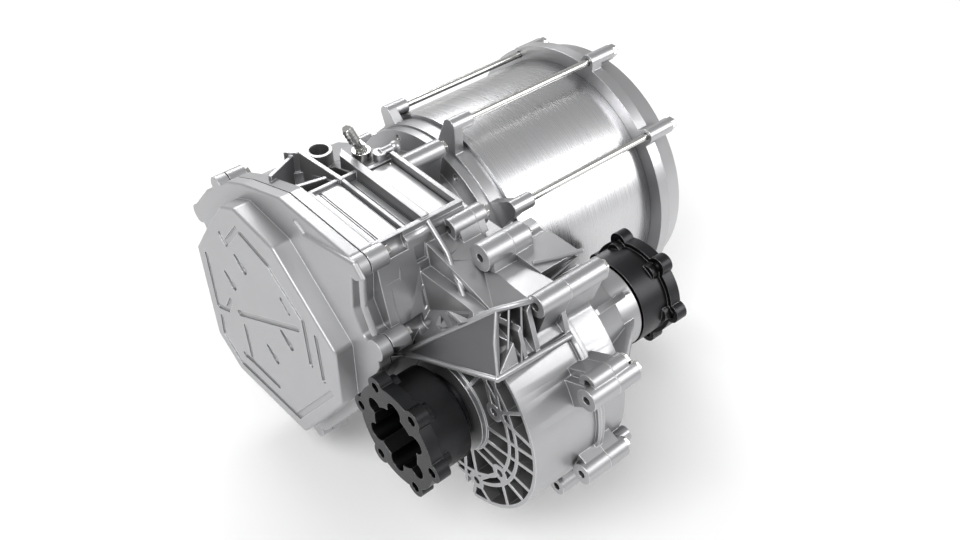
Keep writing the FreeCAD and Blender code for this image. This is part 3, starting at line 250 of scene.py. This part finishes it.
carve("right_housing", "web_hollow",
      [(x, y, z) for x in (123, 160) for y in (-30, 46) for z in (97.5, 107.5)])
bead("web_ridge", ((121, -14, 112.5), (140, -22, 112.5), (159, -27, 112.5)), 1.8, right_cast)
bead("web_rib", ((123, -26, 99), (154, -26.5, 108)), 1.3, right_cast)


# Gears and shafts: case-hardened steel, ground on the tooth flanks. They are
# cut from forged blanks and pressed onto their shafts.

gear_steel = cast_skin("gear_steel", (0.50, 0.50, 0.51), 0.26, depth=0.05, edge=0.2)
dress(gear_steel, "input_pinion", "countershaft", "countershaft_wheel", "ring_gear",
      "side_gear_left", "side_gear_right", "spider_gear_upper", "spider_gear_lower",
      "cross_pin", "rotor_shaft")


# Differential case: cast iron, machined where the ring gear and bearings seat.
# The ring gear is bolted to its flange, and the cross pin runs through it.

dress(cast_skin("differential_iron", (0.25, 0.25, 0.26), 0.4, edge=0.15), "differential_case")


# Rolling bearings: polished bearing steel, pressed into the bores of both
# case halves.

dress(cast_skin("bearing_steel", (0.68, 0.68, 0.70), 0.15, depth=0.02, edge=0.1),
      "differential_bearing_left", "differential_bearing_right", "countershaft_bearing_left",
      "countershaft_bearing_right", "pinion_bearing", "rotor_bearing_front",
      "rotor_bearing_rear")


# Shaft seals and cover gasket: black nitrile rubber, pressed in or laid in a
# groove, with a dull moulded skin.

dress(cast_skin("seal_rubber", (0.02, 0.02, 0.02), 0.6, metallic=0.0, edge=0.02),
      "shaft_seal_left", "shaft_seal_right", "inverter_cover_gasket")


# Rotor and stator: stacks of thin electrical steel, with machined aluminium
# end plates, magnets in the rotor and copper windings round the stator teeth.

dress(cast_skin("lamination_steel", (0.40, 0.41, 0.43), 0.35, edge=0.15), "rotor_core",
      "stator_core", "resolver_rotor", "resolver_stator")
dress(cast_skin("magnet_alloy", (0.33, 0.33, 0.34), 0.35, edge=0.1), "rotor_magnets")
dress(cast_skin("end_plate_aluminium", (0.74, 0.74, 0.75), 0.3, edge=0.1), "rotor_plate_front",
      "rotor_plate_rear", "power_module_base")
dress(cast_skin("winding_copper", (0.70, 0.34, 0.16), 0.3, edge=0.1), "stator_winding",
      "phase_busbars")


# Motor tube: an aluminium cylinder turned and brushed round its axis, so the
# strokes run round it and the highlights run along it.

tube = cast_skin("brushed_tube", (0.56, 0.56, 0.57), 0.27, grain=60, patch=0.02, edge=0.2,
                 crevice_shade=0.55, reach=0.05)
tree = tube.node_tree
shader = tree.nodes["Principled BSDF"]
place = tree.nodes.new("ShaderNodeTexCoord")
stretch = tree.nodes.new("ShaderNodeMapping")
stretch.inputs["Scale"].default_value = (2400, 9, 9)
strokes = tree.nodes.new("ShaderNodeTexNoise")
strokes.inputs["Detail"].default_value = 3
strokes.inputs["Scale"].default_value = 1.0
tree.links.new(place.outputs["Object"], stretch.inputs["Vector"])
tree.links.new(stretch.outputs["Vector"], strokes.inputs["Vector"])
lines = tree.nodes["grain"]
lines.inputs["Strength"].default_value = 0.25
lines.inputs["Distance"].default_value = 0.0001
tree.links.new(strokes.outputs["Fac"], lines.inputs["Height"])
streak = tree.nodes.new("ShaderNodeMapRange")
streak.inputs["To Min"].default_value = 0.19
streak.inputs["To Max"].default_value = 0.36
tree.links.new(strokes.outputs["Fac"], streak.inputs["Value"])
tree.links.new(streak.outputs["Result"], shader.inputs["Roughness"])
shader.inputs["Anisotropic"].default_value = 0.6
tangent = tree.nodes.new("ShaderNodeTangent")
tangent.direction_type = "RADIAL"
tangent.axis = "X"
tree.links.new(tangent.outputs["Tangent"], shader.inputs["Tangent"])
dress(tube, "motor_tube")


# Motor front flange and end bell: pressure die-castings, machined on the faces
# that clamp the tube, with the tie rod bosses cast on.

dress(cast_skin("end_casting", (0.48, 0.48, 0.49), 0.36, edge=0.55, metallic=0.9),
      "motor_front_flange", "motor_end_bell", "breather_elbow")


# Tie rods, nuts, screws and the hose barb: zinc-plated steel, bright and
# slightly warm. The rods clamp the tube between the front flange and end bell.

dress(cast_skin("plated_steel", (0.60, 0.60, 0.58), 0.22, depth=0.05), "tie_rods",
      "tie_rod_nuts", "split_screws", "cover_screws", "motor_flange_screws",
      "ring_gear_bolts", "board_screws", "deck_lid_screws", "coolant_barb")


# Inverter inside: circuit boards with solder-resist lacquer, moulded power
# modules on an aluminium base, and a film capacitor in a grey plastic can.

dress(cast_skin("module_plastic", (0.03, 0.03, 0.03), 0.5, metallic=0.0, edge=0.03),
      "power_modules", "board_components")
dress(cast_skin("can_plastic", (0.28, 0.29, 0.30), 0.5, metallic=0.0, edge=0.05),
      "dc_link_capacitor")
dress(cast_skin("board_lacquer", (0.03, 0.16, 0.07), 0.35, metallic=0.0, edge=0.05),
      "control_board", "gate_driver_board")


# Inverter cover: a shallow die-casting with a matt sand-like skin, crisp bright
# edges, partly a painted highlight, and narrow channels. Screws hold it through its edge lugs.

cover_cast = cast_skin("cover_casting", (0.46, 0.46, 0.47), 0.46, grain=1500, depth=0.2,
                       edge=0.6, metallic=0.85, patch=0.06, crevice_shade=0.35)
dress(cover_cast, "inverter_cover")


# Deck: smooth, almost white machined panels between the rails, each with a near-black
# sheet under its front edge, painted shade in the gap there, and the lid over the
# wiring chamber.

lid_sheet = cast_skin("deck_sheet", (0.60, 0.60, 0.61), 0.42, grain=2600, depth=0.05, edge=0.3,
                      patch=0.04, crevice_shade=0.25)
dress(lid_sheet, "deck_lid")
# A near-black sheet under each panel, showing at its front edge: painted shade in the gap.
gap_painted_shade = bpy.data.materials.new("gap_painted_shade")
gap_painted_shade.use_nodes = True
gap_shader = gap_painted_shade.node_tree.nodes["Principled BSDF"]
gap_shader.inputs["Base Color"].default_value = (0.012, 0.012, 0.013, 1)
gap_shader.inputs["Roughness"].default_value = 0.7
panel_front, panel_back = 66.2, 145.8
for number, (start, end, level) in enumerate(((39.2, 44.5, 122), (46, 64.8, 122),
                                              (68.2, 72.5, 118), (74, 80.8, 118))):
    for part, inset, rise, mat in (("gap", 0.0, 0.25, gap_painted_shade), ("panel", 1.0, 0.7, lid_sheet)):
        slab("deck_%s_%d" % (part, number + 1),
             ((start, panel_front + 2 * inset, level),
              (end - inset, panel_front + 2 * inset, level),
              (end - inset, panel_back, level), (start, panel_back, level)), rise, mat)


# Output joint housings: dark forged iron with a dull skin, turned on the neck
# and rubbed grey on the lobes that carry the screws, their edges partly a painted highlight.

iron = cast_skin("dark_iron", (0.05, 0.05, 0.053), 0.40, grain=1300, depth=0.3, edge=0.16,
                 patch=0.6, crevice_shade=0.5)
dress(iron, "output_joint_left", "output_joint_right")


# Studio: a plain pale floor under the part, an even white sky and three large
# soft lamps, as in the photograph's plain white surroundings.

bpy.ops.mesh.primitive_plane_add(size=14, location=(0.2, 0.1, -0.175))
floor = bpy.context.object
floor.name = "studio_floor"
paper = bpy.data.materials.new("floor_paper")
paper.use_nodes = True
paper_shader = paper.node_tree.nodes["Principled BSDF"]
paper_shader.inputs["Base Color"].default_value = (0.92, 0.92, 0.92, 1)
paper_shader.inputs["Roughness"].default_value = 0.9
floor.data.materials.append(paper)

world = bpy.data.worlds.new("studio")
world.use_nodes = True
sky = world.node_tree.nodes["Background"]
sky.inputs["Color"].default_value = (1, 1, 1, 1)
sky.inputs["Strength"].default_value = 0.5
bpy.context.scene.world = world


def lamp(name, spot, target, width, height, power):
    """A soft rectangular lamp at a spot, turned to a target."""
    light = bpy.data.lights.new(name, "AREA")
    light.shape = "RECTANGLE"
    light.size, light.size_y = width, height
    light.energy = power
    body = bpy.data.objects.new(name, light)
    bpy.context.collection.objects.link(body)
    body.location = spot
    aim = Vector(target) - Vector(spot)
    body.rotation_euler = aim.to_track_quat("-Z", "Y").to_euler()


lamp("key_lamp", (-0.9, -0.4, 1.5), (0.15, 0.1, 0), 1.0, 0.6, 22)
lamp("right_lamp", (1.4, -1.2, 1.0), (0.2, 0.1, 0), 0.5, 1.2, 16)
lamp("back_lamp", (0.6, 1.5, 1.1), (0.2, 0.1, 0), 1.2, 0.4, 14)


# Camera, placed where the photograph was taken from. Its place and lens were
# fitted to the photograph.

view = bpy.data.cameras.new("camera")
view.sensor_width = 36
view.lens = 40.09
view.clip_start = 0.01
camera = bpy.data.objects.new("camera", view)
bpy.context.collection.objects.link(camera)
camera.location = (-0.2903, -0.4334, 0.6148)
camera.rotation_euler = Vector((0.49279, 0.57230, -0.65546)).to_track_quat("-Z", "Y").to_euler()
bpy.context.scene.camera = camera
bpy.context.scene.view_settings.view_transform = "Standard"
